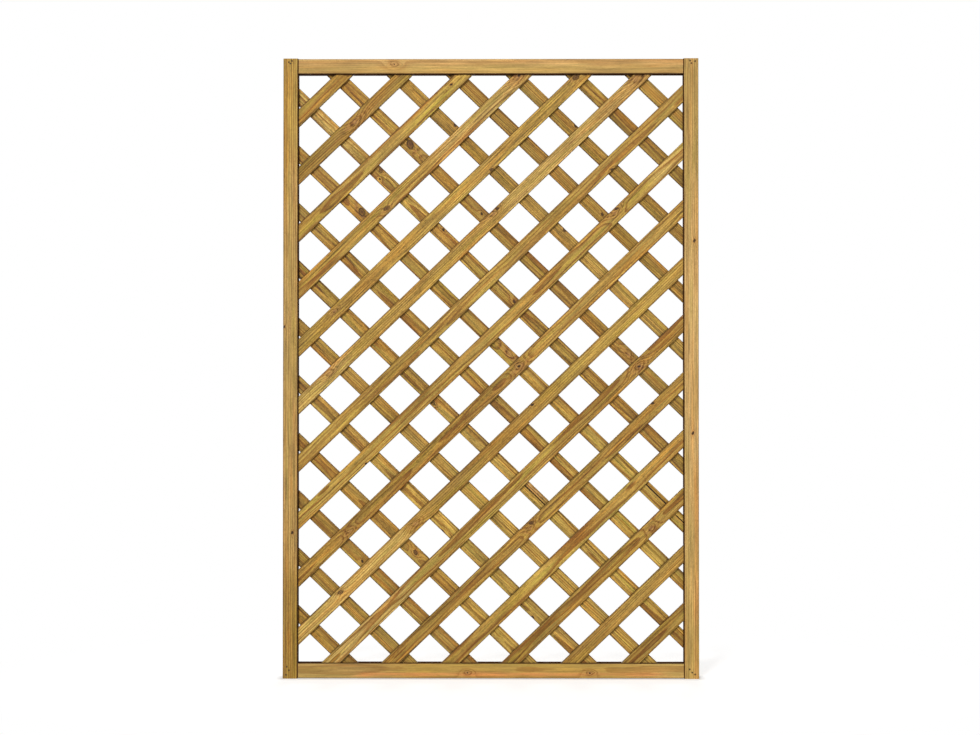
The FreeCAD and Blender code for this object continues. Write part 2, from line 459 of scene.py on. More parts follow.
def planed_bar_tree():
    """A straight bar along X, with its width on Y and its thickness on Z.

    It makes a lath between its plumb and level cut ends, each given as a place along the bar and a
    slant across it. Or it takes a timber that is already shaped, as it is for the frame.
    """
    tree, given = new_tree("planed bar", "GeometryNodeTree", {
        "Geometry": ("Geometry",), "Bool": ("Ready Shaped", "Split"), "Object": ("Split Tool",),
        "Float": (
            "Length", "Width", "Thickness", "Arris", "Section Step", "Unevenness", "Knot Hollow",
            "Seed", "Change Blend", "Change Slant", "Streak Reach", *CHANGES,
        ),
        "Vector": (*START_CUTS, *FINISH_CUTS, "Heart", "Growth", "Grain", "Streak Run", *KNOTS),
        "Int": ("Rows Across", "Rows Through"), "Color": ("Streak Tone", *TONES),
        "Material": ("Material",),
    }, {"Geometry": ("Geometry",)})
    shift = given["Seed"] * 3.7
    mesh = either(given["Ready Shaped"], trimmed_bar(tree, given), given["Geometry"])
    mesh = with_planed_faces(mesh, given, shift)
    mesh = with_sharp_edges(with_splits_cut(mesh, given))
    give_mesh(with_wood_marks(mesh, given, shift), given["Material"])
    return tree


# Effects in the wood

# what each stain or painted shade leaves of red, green and blue; those for the sides, edges,
# crossings, hollows and housings are painted shade
STAINS = {
    "warm band": (1.04, 0.82, 0.56), "green band": (0.84, 0.98, 0.66), "grit": (0.40, 0.30, 0.18),
    "latewood": (0.56, 0.40, 0.25), "dull patch": (0.70, 0.62, 0.50),
    "knot halo": (0.80, 0.58, 0.40), "knot arc": (0.38, 0.23, 0.12),
    "painted side shade": (0.42, 0.36, 0.26), "painted edge shade": (0.36, 0.29, 0.16),
    "end grain": (0.60, 0.50, 0.38), "crossing": (0.20, 0.14, 0.08),
    "hollow": (0.07, 0.03, 0.015), "housing": (0.13, 0.065, 0.014),
}

# how fine each is along and across the grain, per metre, which way the seed moves it, its detail,
# its roughness and its strength
FIBRES = {
    "Streak": (6.0, 130.0, 1.0, 3.0, 0.65, 3.2),
    "Line": (11.0, 340.0, -1.0, 1.5, 0.5, 3.2),
    "Fleck": (70.0, 1500.0, 1.0, 2.0, 0.6, 3.0),
    "Grit": (110.0, 300.0, -1.0, 2.0, 0.7, 3.2),
    "Warmth": (5.0, 75.0, -1.0, 2.0, 0.5, 3.4),
}

# how the masks of a timber's four knots go together
KNOT_MASKS = {
    "Push": Wire.__add__, "Arcs": Wire.__add__, "Halo": Wire.most, "Pale": Wire.most,
    "Heart": Wire.most, "Rim": Wire.most,
}

# how far the painted shade lines reach: from a housing, from a crossing lath's edge, and in depth
# from the plane where the two layers meet
HOUSING_REACH = 2.6 * MM
CROSSING_REACH = 4.5 * MM
MEETING_DEPTH = 6 * MM
GRIME = (0.10, 0.085, 0.07)


def read_mark(tree, name, output="Vector"):
    """What the geometry trees wrote on the piece under that name."""
    return made(tree, "ShaderNodeAttribute", output, attribute_type="GEOMETRY", attribute_name=name)


def knot_group():
    """One knot: how it pushes the rings aside, its eye and rim, and the arcs of grain round it."""
    tree, given = new_tree(
        "knot in the wood", "ShaderNodeTree", {"Vector": ("Timber", "Knot")},
        {"Float": ("Push", "Heart", "Rim", "Halo", "Pale", "Arcs")},
    )
    along, across, through = parts(given["Timber"])
    knot_along, knot_across, radius = parts(given["Knot"])
    size, sign = radius.size().most(LEAST_KNOT), radius.math("SIGN")
    dark, pale = sign.most(0.0), (-sign).most(0.0)
    uneven = noise(along * 130.0, across * 130.0, through * 60.0) - 0.5
    bent = noise(along * 38.0 + knot_along * 900.0, across * 70.0, through * 60.0) - 0.5
    beside, above = (along - knot_along) / size, (across - knot_across) / size
    far = hypotenuse(beside * 0.72, above + beside * 0.25) + uneven * 0.7
    drawn_out = hypotenuse(beside / 2.8, above + bent * 1.9) + uneven * 0.6
    bell = (-hypotenuse(beside / 4.2, above / 2.4).math("POWER", 2.0)).math("EXPONENT")
    fade = (-(drawn_out / 2.1).math("POWER", 2.0)).math("EXPONENT")
    solid = radius.eased(4.6 * MM, 2.8 * MM) * far.eased(1.35, 0.8)
    turns = (far * 8.0 + uneven * 4.0).math("SINE") * 0.18 + 0.82
    open_arcs = (drawn_out * 7.4 + beside * 1.1 + bent * 6.0).math("SINE")
    ring = far.eased(0.70, 0.95) * far.eased(1.36, 1.04) * (dark * 0.75 + 0.25) * (uneven + 0.9)
    give(
        tree, Push=bell * size * 1.5, Heart=far.eased(1.05, 0.75) * turns * dark,
        Rim=ring.most(solid * dark), Halo=far.eased(3.4, 0.9), Pale=far.eased(0.9, 0.3) * pale,
        Arcs=open_arcs * fade * (dark * far.eased(1.25, 0.85)).rest(),
    )
    return tree


def growth_ring_group():
    """Growth rings about a heart line that wanders, so that a face shows flames and fine lines."""
    tree, given = new_tree(
        "growth rings", "ShaderNodeTree",
        {"Vector": ("Timber", "Heart Line"), "Float": ("Seed", "Push", "Ring Width", "Wander")},
        {"Float": ("Latewood", "Ring Tone")},
    )
    timber = along, across, through = parts(given["Timber"])
    heart_across, heart_through, lean = parts(given["Heart Line"])
    seed = given["Seed"] * 7.3
    bent = grain_noise(timber, 2.6, 7.0, seed) - 0.5
    bent_too = noise(along * 3.1, across * 7.0 + seed, through * 7.0) - 0.5
    side = across - heart_across - along * lean + bent * given["Wander"]
    deep = through - heart_through + bent_too * given["Wander"]
    ripple = grain_noise(timber, 16.0, 110.0, seed) - 0.5
    radius = hypotenuse(side, deep) + given["Push"] + ripple * 1.3 * MM
    count = radius / given["Ring Width"]
    count = count + noise(count * 0.45, seed, seed) * 1.6
    part = count.math("FRACT")
    each = made(tree, "ShaderNodeTexWhiteNoise", noise_dimensions="1D", W=count.math("FLOOR") + seed)
    give(
        tree, Latewood=part.eased(0.42, 0.90) * part.eased(1.0, 0.94), Ring_Tone=each * 2.0 - 1.0
    )
    return tree


def fibre_group():
    """Streaks, fine lines, flecks, grit and warmer bands along the grain, about 0."""
    tree, given = new_tree(
        "fibres", "ShaderNodeTree", {"Vector": ("Timber",), "Float": ("Seed",)},
        {"Float": tuple(FIBRES)},
    )
    timber, seed = parts(given["Timber"]), given["Seed"] * 11.9
    give(tree, **{
        name: (grain_noise(timber, run, fineness, seed * way, detail, roughness) - 0.5) * strength
        for name, (run, fineness, way, detail, roughness, strength) in FIBRES.items()
    })
    return tree


def treatment_group():
    """Where the treatment took: a green cast in patches, and dull stains."""
    tree, given = new_tree(
        "treatment", "ShaderNodeTree", {"Vector": ("Timber",), "Float": ("Seed",)},
        {"Float": ("Green", "Stain")},
    )
    timber, seed = parts(given["Timber"]), given["Seed"] * 5.3
    give(
        tree, Green=grain_noise(timber, 7.0, 34.0, seed).eased(0.40, 0.68),
        Stain=grain_noise(timber, 19.0, 70.0, -seed).eased(0.54, 0.78),
    )
    return tree


def edge_wear_and_shade_group():
    """Rubbed arrises, and painted shade: a dark line along each edge, and darker narrow sides."""
    tree, given = new_tree(
        "edges", "ShaderNodeTree", {"Vector": ("Timber", "Section"), "Float": ("Reach",)},
        {"Float": ("Worn", "Dark", "Side")},
    )
    timber = _, across, through = parts(given["Timber"])
    width, thickness, arris = parts(given["Section"])
    in_from_side = width / 2.0 - across.size()
    in_from_face = thickness / 2.0 - through.size()
    near_side, near_face = in_from_side / (arris * 1.6), in_from_face / (arris * 1.6)
    patchy = grain_noise(timber, 24.0, 60.0).eased(0.42, 0.72)
    varied = grain_noise(timber, 17.0, 40.0) * 0.9 + 0.55
    # Dark and Side are painted shade along the edges and on the narrow sides; Worn is wear
    give(
        tree, Worn=near_side.eased(1.0, 0.1) * near_face.eased(1.0, 0.1) * patchy,
        Dark=(in_from_side.most(in_from_face) / given["Reach"] / varied).eased(1.0, 0.0),
        Side=near_side.eased(0.8, 0.2),
    )
    return tree


def housing_shade_group(opening, depth):
    """The shade where the laths go into the frame: on the laths, and on the frame itself."""
    tree, given = new_tree(
        "painted housing shade", "ShaderNodeTree", {"Vector": ("Object",), "Float": ("Reach",)},
        {"Float": ("On Laths", "On Frame")},
    )
    x, y, z = parts(given["Object"])
    low, high = opening
    from_stile = (x - low.x).least(-x + high.x)
    from_foot, from_head = z - low.z, -z + high.z
    inside = from_stile.least(from_foot).least(from_head)

    def near(distance):
        return (distance / given["Reach"]).eased(1.0, 0.0)

    # all painted shade: on the laths beside the frame, and deeper with a ragged edge under the top
    # rail where it shadows them; on the frame along its inner faces, its joint lines and in the groove
    ragged = noise(x * 70.0, y * 300.0, z * 12.0).eased(0.36, 0.66) * 3.2 + 1.0
    shadow_under_head = (from_head / given["Reach"] / ragged).eased(1.0, 0.0)
    joint = (from_stile.size() / given["Reach"]).eased(1.0, 0.2)
    within = y.size().eased(depth / 2 - 0.6 * MM, depth / 2 - 1.6 * MM)
    in_groove = inside.eased(-GROOVE_DEPTH - 1 * MM, -GROOVE_DEPTH) * within
    give(
        tree, On_Laths=near(from_stile).most(near(from_foot) * 0.35).most(shadow_under_head * 0.95),
        On_Frame=near(-inside).most(joint).most(in_groove),
    )
    return tree


def crossing_shade_group():
    """Painted shade: a dark line beside each lath that crosses this one."""
    tree, given = new_tree(
        "painted crossing shade", "ShaderNodeTree",
        {"Vector": ("Object", "Across"), "Float": ("First", "Pitch", "Half Width", "Reach")},
        {"Float": ("Line",)},
    )
    _, y, _ = parts(given["Object"])
    dot = put(tree, "ShaderNodeVectorMath", operation="DOT_PRODUCT", Vector=given["Object"])
    join(dot.inputs[1], given["Across"])
    steps = (Wire(tree, dot.outputs["Value"]) - given["First"]) / given["Pitch"]
    nearest = steps.math("ROUND").least(LATHS_IN_LAYER - 1.0).most(0.0)
    beside = (steps - nearest).size() * given["Pitch"] - given["Half Width"]
    near_meeting = (y.size() / MEETING_DEPTH).eased(1.0, 0.2)
    give(tree, Line=(beside / given["Reach"]).eased(1.0, 0.0) * near_meeting)
    return tree


def dull_zinc_group():
    """The grey mottle of weathered zinc."""
    tree, given = new_tree(
        "dull zinc", "ShaderNodeTree", {"Vector": ("Object",), "Color": ("Coat",)},
        {"Color": ("Colour",), "Float": ("Roughness", "Height")},
    )
    x, y, z = parts(given["Object"])
    bloom = noise(x * 700.0, y * 700.0, z * 700.0, 3.0, 0.6)
    give(
        tree, Colour=given["Coat"].mixed(bloom.eased(0.35, 0.75), opaque(GRIME)),
        Roughness=bloom * 0.4 + 0.35, Height=bloom,
    )
    return tree


def new_material(name):
    """A material, its node tree and its shader."""
    material = bpy.data.materials.new(name)
    material.use_nodes = True
    return material, material.node_tree, material.node_tree.nodes["Principled BSDF"]


def roughened(surface, strength, distance, height):
    """Gives a shader its relief."""
    bump = made(
        height.tree, "ShaderNodeBump", Strength=strength, Distance=distance, Height=height
    )
    join(surface.inputs["Normal"], bump)


def wood_effects(tree, edge_reach):
    """Places the effects on a timber, and gives their masks by name with the four knots in one."""
    shop = workshop()
    timber, seed = read_mark(tree, "timber"), read_mark(tree, "seed", "Fac")
    knots = [
        place(tree, shop.knot, Timber=timber, Knot=read_mark(tree, mark_name(knot)))
        for knot in KNOTS
    ]
    masks = {
        name: functools.reduce(fold, [knot[name] for knot in knots])
        for name, fold in KNOT_MASKS.items()
    }
    ring_width, wander, masks["Contrast"] = parts(read_mark(tree, "growth"))
    masks["Broad"], masks["Fine"], masks["Gritty"] = parts(read_mark(tree, "grain"))
    masks.update(place(
        tree, shop.rings, Timber=timber, Heart_Line=read_mark(tree, "heart"), Seed=seed,
        Push=masks["Push"], Ring_Width=ring_width, Wander=wander,
    ))
    masks.update(place(tree, shop.fibres, Timber=timber, Seed=seed))
    masks.update(place(tree, shop.treatment, Timber=timber, Seed=seed))
    masks.update(place(
        tree, shop.edges, Timber=timber, Section=read_mark(tree, "section"), Reach=edge_reach
    ))
    return masks


def clear_wood(tree, masks, colours):
    """The colour of the wood between its knots: its tone, fibres, rings and treatment."""
    contrast = masks["Contrast"]
    light = masks["Ring Tone"] * 0.12 * contrast + masks["Streak"] * masks["Broad"]
    light = light + masks["Line"] * masks["Fine"] + masks["Grit"] * masks["Gritty"] * 0.45
    light = light + masks["Fleck"] * 0.06 + 1.10
    colour = made(
        tree, "ShaderNodeMix", data_type="RGBA", blend_type="MULTIPLY", Factor=1.0,
        A=read_mark(tree, "tone", "Color"), B=light,
    )
    colour = colour.darkened(masks["Warmth"].most(0.0) * 1.1 * contrast, "warm band")
    colour = colour.darkened((-masks["Warmth"]).most(0.0) * 1.0 * contrast, "green band")
    colour = colour.darkened((-masks["Grit"]).most(0.0) * masks["Gritty"], "grit")
    colour = colour.mixed(masks["Green"] * 0.30, opaque(colours.olive))
    colour = colour.darkened(masks["Latewood"] * contrast, "latewood")
    return colour.darkened(masks["Stain"] * 0.35, "dull patch")


def with_knots(colour, masks, colours):
    """The wood's colour with its knots, and the grain that bends round them."""
    colour = colour.darkened(masks["Halo"] * 0.30, "knot halo")
    colour = colour.mixed((-masks["Arcs"]).most(0.0) * 0.55, opaque(colours.orange))
    colour = colour.darkened(masks["Arcs"].eased(0.25, 1.0) * 0.70, "knot arc")
    colour = colour.mixed(masks["Pale"] * 0.35, opaque(colours.pale_knot))
    colour = colour.mixed(masks["Heart"] * 0.95, opaque(colours.knot))
    return colour.mixed(masks["Rim"] * 0.90, opaque(colours.bark))


def with_edges(colour, masks, side_shade, colours):
    """The wood's colour with painted shade on its sides and edges, its rubbed edges and its ends."""
    end_grain = read_mark(colour.tree, "end_grain", "Fac").eased(0.6, 0.9)
    # painted shade on the sides and along the edges
    colour = colour.darkened(masks["Side"] * side_shade, "painted side shade")
    colour = colour.darkened(masks["Dark"] * 0.85, "painted edge shade")
    colour = colour.mixed(masks["Worn"] * 0.30, opaque(colours.straw))
    return colour.darkened(end_grain * 0.6, "end grain")


def softwood(name, colours, finish, crossed_by=None):
    """Treated softwood.

    finish gives the reach of the painted edge shade and how dark the painted side shade is.
    crossed_by describes the other layer of laths, and only the frame's timbers go without it.
    """
    edge_reach, side_shade = finish
    material, tree, surface = new_material(name)
    masks = wood_effects(tree, edge_reach)
    where = made(tree, "ShaderNodeTexCoord", "Object")
    housed = place(tree, workshop().housing, Object=where, Reach=HOUSING_REACH)
    shade = housed["On Laths" if crossed_by else "On Frame"]
    colour = with_knots(clear_wood(tree, masks, colours), masks, colours)
    colour = with_edges(colour, masks, side_shade, colours)
    if crossed_by:
        line = place(tree, workshop().crossing, Object=where, **crossed_by)["Line"]
        # painted shade beside each lath of the other layer
        colour = colour.darkened(line * 0.55, "crossing")
    # painted shade in the pins' hollows and inside the splits
    colour = colour.darkened(read_mark(tree, "hollow", "Fac") * 0.97, "hollow")
    # painted shade where the laths go into the frame
    join(surface.inputs["Base Color"], colour.darkened(shade, "housing"))

    rough = masks["Latewood"] * -0.10 + masks["Streak"] * 0.04 + masks["Worn"] * 0.08 + 0.66
    join(surface.inputs["Roughness"], rough.most(shade))
    surface.inputs["Specular IOR Level"].default_value = 0.2
    relief = masks["Latewood"] * 0.10 + masks["Fleck"] * 0.02 + masks["Streak"] * 0.04
    roughened(surface, 0.8, 1 * MM, relief - masks["Rim"] * 0.12 + masks["Arcs"] * 0.05)
    return material


def fastening_metal(name, coating, metallic):
    """Metal that the weather has dulled."""
    material, tree, surface = new_material(name)
    coat = place(
        tree, workshop().zinc, Object=made(tree, "ShaderNodeTexCoord", "Object"),
        Coat=opaque(coating),
    )
    join(surface.inputs["Base Color"], coat["Colour"])
    join(surface.inputs["Roughness"], coat["Roughness"])
    surface.inputs["Metallic"].default_value = metallic
    roughened(surface, 0.4, 0.1 * MM, coat["Height"])
    return material


# Where everything goes

class Setting:
    """The frame's opening, the lath field and the two layers' lines, all read from the solids."""

    def __init__(self):
        _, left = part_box("stile_left")
        right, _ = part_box("stile_right")
        _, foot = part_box("rail_bottom")
        head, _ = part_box("rail_top")
        self.opening = Vector((left.x, 0, foot.z)), Vector((right.x, 0, head.z))
        boxes = [
            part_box(f"{layer}_lath_{number:02d}")
            for layer in ("front", "back") for number in range(1, LATHS_IN_LAYER + 1)
        ]
        self.field = (
            Vector([min(low[axis] for low, _ in boxes) for axis in range(3)]),
            Vector([max(high[axis] for _, high in boxes) for axis in range(3)]),
        )
        second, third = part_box("front_lath_02"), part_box("front_lath_03")
        self.diamond_width = third[1].x - second[1].x
        self.diamond_height = second[0].z - third[0].z
        self.angle = math.atan2(self.diamond_height, self.diamond_width)
        front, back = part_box(STILES[0])
        self.depth = back.y - front.y

    def lath_line(self, layer, number, width):
        """The direction of a lath, and its distance from the origin across that direction."""
        rise = 1 if layer == "front" else -1
        along = Vector((math.cos(self.angle), 0, rise * math.sin(self.angle)))
        across = Vector((-along.z, 0, along.x))
        low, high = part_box(f"{layer}_lath_03")
        # the third lath's edge meets the field's left side at the lath's lowest or highest point
        corner = Vector((self.field[0].x, 0, low.z if rise > 0 else high.z))
        third = across.dot(corner) + rise * width / 2
        pitch = self.diamond_width * math.sin(self.angle)
        return along, across, third - rise * (number - 3) * pitch

    def crossed_by(self, layer, width):
        """How the laths of a layer lie, for the lines that they leave on the other layer."""
        lines = [self.lath_line(layer, number, width) for number in (1, 2, LATHS_IN_LAYER)]
        first, second, last = (away for _, _, away in lines)
        return {
            "Across": tuple(lines[0][1]), "First": min(first, last), "Pitch": abs(second - first),
            "Half_Width": width / 2, "Reach": CROSSING_REACH,
        }

    def visible_run(self, along, across, away):
        """Where a lath's centre line comes into the opening, and how long it runs there."""
        low, high = self.opening
        spans = []
        for axis in (0, 2):
            base = across[axis] * away
            spans.append(sorted((side[axis] - base) / along[axis] for side in (low, high)))
        start = max(span[0] for span in spans)
        finish = min(span[1] for span in spans)
        return across * away + along * start, finish - start

    def crossing_centre(self, width):
        """The middle of the lattice, where neither layer has a lath."""
        across, middle = {}, {}
        for layer in ("front", "back"):
            lines = [self.lath_line(layer, number, width) for number in (8, 9)]
            across[layer] = lines[0][1]
            middle[layer] = (lines[0][2] + lines[1][2]) / 2
        total = middle["back"] + middle["front"]
        apart = middle["back"] - middle["front"]
        return Vector((apart / (2 * across["back"].x), 0, total / (2 * across["back"].z)))


class Workshop:
    """What the pieces share: the setting, the effects and the planed bar's tree."""

    def __init__(self):
        self.setting = Setting()
        self.knot, self.rings, self.fibres = knot_group(), growth_ring_group(), fibre_group()
        self.treatment, self.edges = treatment_group(), edge_wear_and_shade_group()
        self.housing = housing_shade_group(self.setting.opening, self.setting.depth)
        self.crossing, self.zinc = crossing_shade_group(), dull_zinc_group()
        self.bar = planed_bar_tree()


@functools.cache
def workshop():
    """The workshop, built when the first piece asks for it."""
    return Workshop()


def bar_matrix(start, along):
    """Carries a bar from along X to its place. Its width turns with it, its thickness to -Y."""
    across = Vector((-along.z, 0, along.x))
    face = along.cross(across)
    return Matrix.Translation(start) @ Matrix((along, across, face)).transposed().to_4x4()


def new_object(name, data):
    """Puts a mesh, a lamp or a camera into the scene."""
    held = bpy.data.objects.new(name, data)
    bpy.context.scene.collection.objects.link(held)
    return held


def mark_hollow_shade(mesh, domain, shares):
    """Writes how much of each point or face lies in a hollow, which the material darkens as painted
    shade.
    """
    mesh.attributes.new("hollow", "FLOAT", domain).data.foreach_set("value", shares)


def made_by(tree, name, settings, matrix, points=(), faces=(), hollow_shades=()):
    """Evaluates a tree on an object of its own and keeps the result as a plain mesh piece."""
    stock = bpy.data.meshes.new(f"{name}_stock")
    stock.from_pydata([tuple(point) for point in points], [], faces)
    if hollow_shades:
        mark_hollow_shade(stock, "POINT", hollow_shades)
    holder = new_object(f"{name}_holder", stock)
    modifier = holder.modifiers.new(tree.name, "NODES")
    modifier.node_group = tree
    sockets = {
        item.name: item.identifier for item in tree.interface.items_tree
        if item.item_type == "SOCKET" and item.in_out == "INPUT"
    }
    for label, value in settings.items():
        modifier[sockets[label]] = value
    depsgraph = bpy.context.evaluated_depsgraph_get()
    mesh = bpy.data.meshes.new_from_object(holder.evaluated_get(depsgraph), depsgraph=depsgraph)
    bpy.data.objects.remove(holder)
    bpy.data.meshes.remove(stock)
    if not mesh.polygons:
        raise RuntimeError(f"{name} came out empty")
    if mesh.materials[0] is None:
        mesh.materials.pop(index=0)
    mesh.transform(matrix)
    mesh.name = name
    return new_object(name, mesh)


def kept(piece, node=None):
    """Every piece rides on the panel's one body."""
    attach(piece, "root")
    if node:
        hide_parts(node)


# What each timber looks like

def timber(
    tones, changes=(), knots=(), streak=None, blend=70, slant=0.0, splits=(), heart=None,
    rings=None, grain=None,
):
    """A timber's own marks, in mm.

    Along runs from its left or lower visible end, and across runs up from its middle, or to the
    left on a stile. A knot is (along, across, radius), and a radius below nothing is a pale swirl.
    A streak is (tone, from, to, across, half its width). A split is (from, to, across, width). The
    heart is (across, in front of the middle), the rings are (width, wander, contrast), and the
    grain is how strong its broad streaks, fine lines and grit are. A heart, rings or grain left out
    are drawn by lot.
    """
    return {
        "tones": tones.split(), "changes": changes, "knots": knots, "streak": streak,
        "blend": blend, "slant": slant, "splits": splits, "heart": heart, "rings": rings,
        "grain": grain,
    }


# the laths in the order of their numbers: front ones from the top left, back ones from the
# bottom left
FRONT_LATHS = (
    timber("gold_brown"),
    timber("umber umber gold_brown", (60, 300), ((227, -2, -10),)),
    timber("gold_brown tan honey", (190, 420), ((618, 4, 2.6),)),
    timber("gold_brown tan pale_tan", (340, 560), ((350, -5, 5.5), (888, 3, -9), (892, 7, 2.6)),
           streak=("dark_umber", 862, 990, 3, 16)),
    timber("gold_brown honey tan", (330, 700), ((762, -15, 4), (150, 6, -6), (1122, 8, 6)),
           streak=("dark_umber", 1085, 1300, 10, 10)),
    timber("pale_tan tan pale_tan", (210, 830),
           ((131, 6, -8), (792, 9, -8), (811, 12, 3.5), (1362, 3, -11)),
           streak=("dark_umber", 1336, 1500, 3, 16)),
    timber("honey gold_brown tan", (240, 560), ((1244, -17, 3.6),),
           streak=("umber", 520, 680, -4, 5)),
    timber("honey tan straw", (420, 1420), ((257, -16, 2.6), (1278, 7, -8), (1290, 13, 3.5))),
    timber("gold_brown umber tan", (180, 900), ((204, -5, -6), (886, 0, -9), (886, 0, 3)),
           streak=("umber", 230, 1000, 5, 8)),
    timber("straw gold_brown honey", (438, 1060), ((177, 7, 5), (952, 13, 3), (470, 0, -8)),
           blend=24, slant=0.9, streak=("umber", 600, 880, 8, 6)),
    timber("pale_tan tan gold_brown", (330, 880), ((1234, -1, -9), (1234, -1, 3)),
           streak=("umber", 900, 1400, 3, 7)),
    timber("umber gold_brown gold_brown", (230, 700), ((558, 0, -7), (572, 9, 4), (1064, 15, 3)),
           streak=("dark_umber", 120, 420, 9, 6)),
    timber("gold_brown honey tan", (310, 480), streak=("umber", 60, 250, -8, 7)),
    timber("umber gold_brown gold_brown", (170, 400), ((562, -2, -7),),
           streak=("dark_umber", 40, 500, 10, 7)),
    timber("gold_brown tan tan", (150, 300), streak=("umber", 20, 170, -6, 6)),
    timber("honey", streak=("dark_umber", -60, 300, 6, 13)),
)

BACK_LATHS = (
    timber("umber"),
    timber("gold_brown tan tan", (170, 300)),
    timber("umber gold_brown tan", (130, 430), ((259, -2, 3),)),
    timber("umber gold_brown honey", (150, 640), ((468, 3, 5),)),
    timber("tan honey tan", (430, 700), ((596, -18, 3), (957, -17, 3))),
    timber("gold_brown tan honey", (390, 620)),
    timber("gold_brown tan honey", (520, 760), ((550, -9, 5),), splits=((886, 1012, 2.4, 4.4),),
           streak=("apricot", 880, 1010, 12, 8)),
    timber("tan gold_brown honey", (120, 980)),
    timber("tan gold_brown honey", (150, 830), ((248, 6, 8), (842, 5, -8)),
           splits=((1378, 1500, 7.5, 4.4), (1508, 1554, 3.5, 3.6)),
           streak=("umber", 560, 730, 0, 12)),
    timber("straw tan gold_brown", (230, 820),
           ((319, 11, 5), (335, -9, 2.2), (570, 13, 3), (862, 5, 3.4))),
    timber("gold_brown umber umber", (330, 640), ((296, 4, 9), (585, 3, 3), (1176, 3, -8)),
           streak=("dark_umber", 1235, 1330, 0, 14)),
    timber("gold_brown umber tan", (160, 560), ((227, 15, 3.2), (666, 15, 3.6))),
    timber("umber umber gold_brown", (300, 820), ((589, 4, 3.4),)),
    timber("tan umber umber", (130, 330), ((231, 15, 3.2),)),
    timber("gold_brown dark_umber dark_umber", (140, 300)),
    timber("tan"),
)

FRAME_TIMBERS = {
    "stile_left": timber("umber fawn tan", (310, 1500), ((1014, 18, 2.4), (420, -6, 3)),
                         streak=("gold_brown", 1350, 1850, 14, 9), blend=160,
                         heart=(70, -8), rings=(5.8, 5, 0.8), grain=(0.16, 0.60, 0.34)),
    "stile_right": timber("pale_tan cream fawn", (380, 1380), ((1262, -9, 3.2), (707, -4, 3.2)),
                          streak=("orange", -60, 640, -14, 7), blend=620,
                          heart=(-64, 10), rings=(5.6, 5, 0.65), grain=(0.14, 0.52, 0.30)),
    "rail_bottom": timber("fawn tan pale_tan", (260, 960),
                          ((489, -6, -6), (490, -6, 1.7), (841, -6, -6), (842, -7, 1.9)),
                          streak=("rust", 150, 1080, -10, 5), blend=200,
                          heart=(4, -40), rings=(5.4, 7, 0.5), grain=(0.30, 0.34, 0.20)),
    "rail_top": timber("fawn pale_tan fawn", (210, 860), ((277, 6, -6.5), (278, 6, 1.2)),
                       streak=("apricot", -100, 1300, 12, 10), blend=200,
                       heart=(-5, -46), rings=(5.6, 5, 0.5), grain=(0.32, 0.40, 0.20)),
}

# corner pins, as seen from the front: mm from the left edge and from the foot
CORNER_PINS = (
    (20.5, 1775.8), (16.0, 1779.5), (25.0, 1783.0), (1176.0, 1783.0), (1179.4, 1775.8),
    (1190.4, 1781.5), (12.2, 34.1), (18.5, 24.0), (10.2, 11.0), (1172.5, 27.5), (1179.7, 18.2),
    (1188.1, 12.8),
)

# the reach of the painted shade along an edge, and how dark the painted shade on the sides is
FINISHES = {"front": (3.4 * MM, 0.8), "back": (4.0 * MM, 0.8), "frame": (2.6 * MM, 0.0)}

# the seed of the timber before the first of each kind
SEEDS = {"front": 0, "back": 40, "frame": 90}

# what stands for a knot and a change of tone that a timber doesn't have
NO_KNOT = (0, 0, 0)
PAST_ANY_END = 50.0


def growth_settings(marks, draw, width):
    """Where the heart of the log lay, how the wood grew and how strong its grain is."""
    if draw.random() < 0.55:
        # straight behind or before the face, for flames
        across = draw.uniform(-0.35, 0.35) * width
        through = draw.choice((-1, 1)) * draw.uniform(14, 36) * MM
    else:
        # beside the face, for fine lines
        across = draw.choice((-1, 1)) * draw.uniform(0.9, 2.2) * width
        through = draw.uniform(-30, 30) * MM
    lean = draw.uniform(-0.012, 0.012)
    rings = draw.uniform(4.2, 6.6), 16, draw.uniform(0.8, 1.2)
    grain = tuple(share * draw.uniform(0.8, 1.2) for share in (0.30, 0.72, 0.60))
    if marks["heart"]:
        across, through = (place_at * MM for place_at in marks["heart"])
        lean = 0.0
    width_of_rings, wander, contrast = marks["rings"] or rings
    return {
        "Heart": (across, through, lean), "Growth": (width_of_rings * MM, wander * MM, contrast),
        "Grain": marks["grain"] or grain,
    }


def bar_settings(marks, colours, sizes, seed, width, shift=0.0):
    """The planed bar tree's inputs for one timber. shift moves the marks along the bar, in mm."""
    settings = {
        "Section Step": sizes.section_step, "Unevenness": sizes.unevenness,
        "Knot Hollow": sizes.knot_hollow, "Seed": float(seed),
        "Change Blend": marks["blend"] * MM, "Change Slant": marks["slant"],
        **growth_settings(marks, random.Random(seed), width),
    }
    tones = [opaque(getattr(colours, name)) for name in marks["tones"]]
    for number, name in enumerate(TONES):
        settings[name] = tones[min(number, len(tones) - 1)]
    changes = marks["changes"]
    for number, name in enumerate(CHANGES):
        settings[name] = (changes[number] + shift) * MM if number < len(changes) else PAST_ANY_END
    for number, name in enumerate(KNOTS):
        along, across, radius = marks["knots"][number] if number < len(marks["knots"]) else NO_KNOT
        settings[name] = ((along + shift) * MM, across * MM, radius * MM)
    if marks["streak"]:
        tone, begin, end, across, reach = marks["streak"]
        settings["Streak Tone"] = opaque(getattr(colours, tone))
        settings["Streak Run"] = ((begin + shift) * MM, (end + shift) * MM, across * MM)
        settings["Streak Reach"] = reach * MM
    return settings


# Laths

LATH_ROWS = {"Rows Across": 13, "Rows Through": 7}

# a split closes at both ends: shares of its run, and of half its width to either side
SPLIT_OUTLINE = (
    (0.0, 0.0), (0.2, -1.0), (0.55, -0.8), (0.85, -1.0), (1.0, 0.0), (0.8, 1.0), (0.45, 0.8),
    (0.15, 1.0),
)
SPLIT_FLOOR = 0.05  # above a lath's middle, as a share of its thickness


